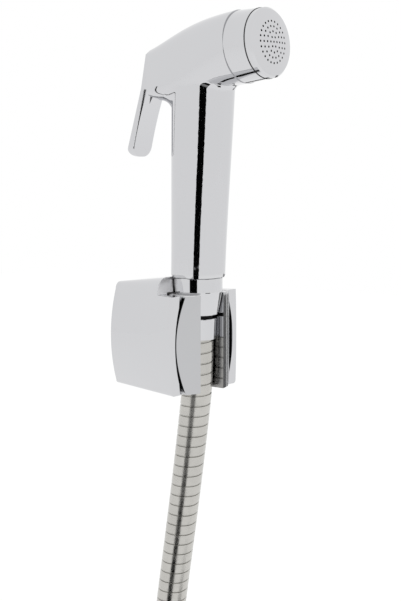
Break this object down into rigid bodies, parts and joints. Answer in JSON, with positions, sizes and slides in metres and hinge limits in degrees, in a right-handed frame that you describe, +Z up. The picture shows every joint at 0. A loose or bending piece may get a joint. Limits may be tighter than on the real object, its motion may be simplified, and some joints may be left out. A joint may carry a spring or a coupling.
{
  "type": "handheld bidet shower",
  "caption": "Chromed trigger hand shower resting in a flared wall holder, with a conical hose nut and a ribbed metal hose.",
  "frame": {"origin": "on the wall, in the middle of the holder's wall plate", "axes": "+Z up along the grip, +Y into the wall, so the shower stands on the -Y side; X is across, and X = 0 is the plane of symmetry of the holder and the hand shower"},
  "size_m": [0.1816, 0.0862, 0.5041],
  "materials": {
    "chrome": "polished",
    "hose_metal": "ribbed, satin",
    "steel": "satin",
    "brass": "turned",
    "rubber": "matt",
    "inner_plastic": "moulded",
    "strap": "clear strap"
  },
  "bodies": {
    "set": {"holder_body": "chrome", "holder_fork": "chrome", "wall_plate": "steel", "grub_screw": "steel", "handset_body": "chrome", "head_band": "chrome", "spray_cap": "chrome", "flow_disc": "inner_plastic", "cap_seal": "rubber", "valve_body": "brass", "valve_bonnet": "brass", "stem_ring": "rubber", "valve_spring": "steel", "lever_pin": "steel", "inlet_connector": "brass", "check_valve": "inner_plastic", "inlet_filter": "steel", "hose_nut_top": "chrome", "hose_ferrule_top": "chrome", "hose_washer_top": "rubber", "hose": "hose_metal", "hose_coil": "hose_metal", "hose_tail": "hose_metal", "coil_tie": "strap", "hose_ferrule_end": "chrome", "hose_washer_end": "rubber"},
    "lever": {"lever": "chrome"},
    "stem": {"valve_stem": "brass", "valve_seal": "rubber"},
    "poppet": {"check_poppet": "inner_plastic"},
    "inlet_nut": {"hose_nut_end": "chrome"}
  },
  "joints": [
    {"name": "lever_press", "type": "hinge", "parent": "set", "child": "lever", "pos_m": [0, -0.0195, 0.1326], "axis": [-1, 0, 0], "range_deg": [0, 12], "stiffness_Nm_per_rad": 0.5, "springref_deg": -17.19},
    {"name": "valve_stem_slide", "type": "slide", "parent": "set", "child": "stem", "axis": [0, -1, 0], "range_m": [0, 0.0022], "deforming": ["valve_spring"]},
    {"name": "check_poppet_lift", "type": "slide", "parent": "set", "child": "poppet", "axis": [0, 0, 1], "range_m": [0, 0.003]},
    {"name": "inlet_nut_spin", "type": "hinge", "parent": "set", "child": "inlet_nut", "pos_m": [0, -0.0471, -0.3433], "axis": [0, 0, -1], "continuous": true}
  ],
  "couplings": [
    {"joint": "valve_stem_slide", "follows": "lever_press", "m_per_rad": 0.0104}
  ]
}
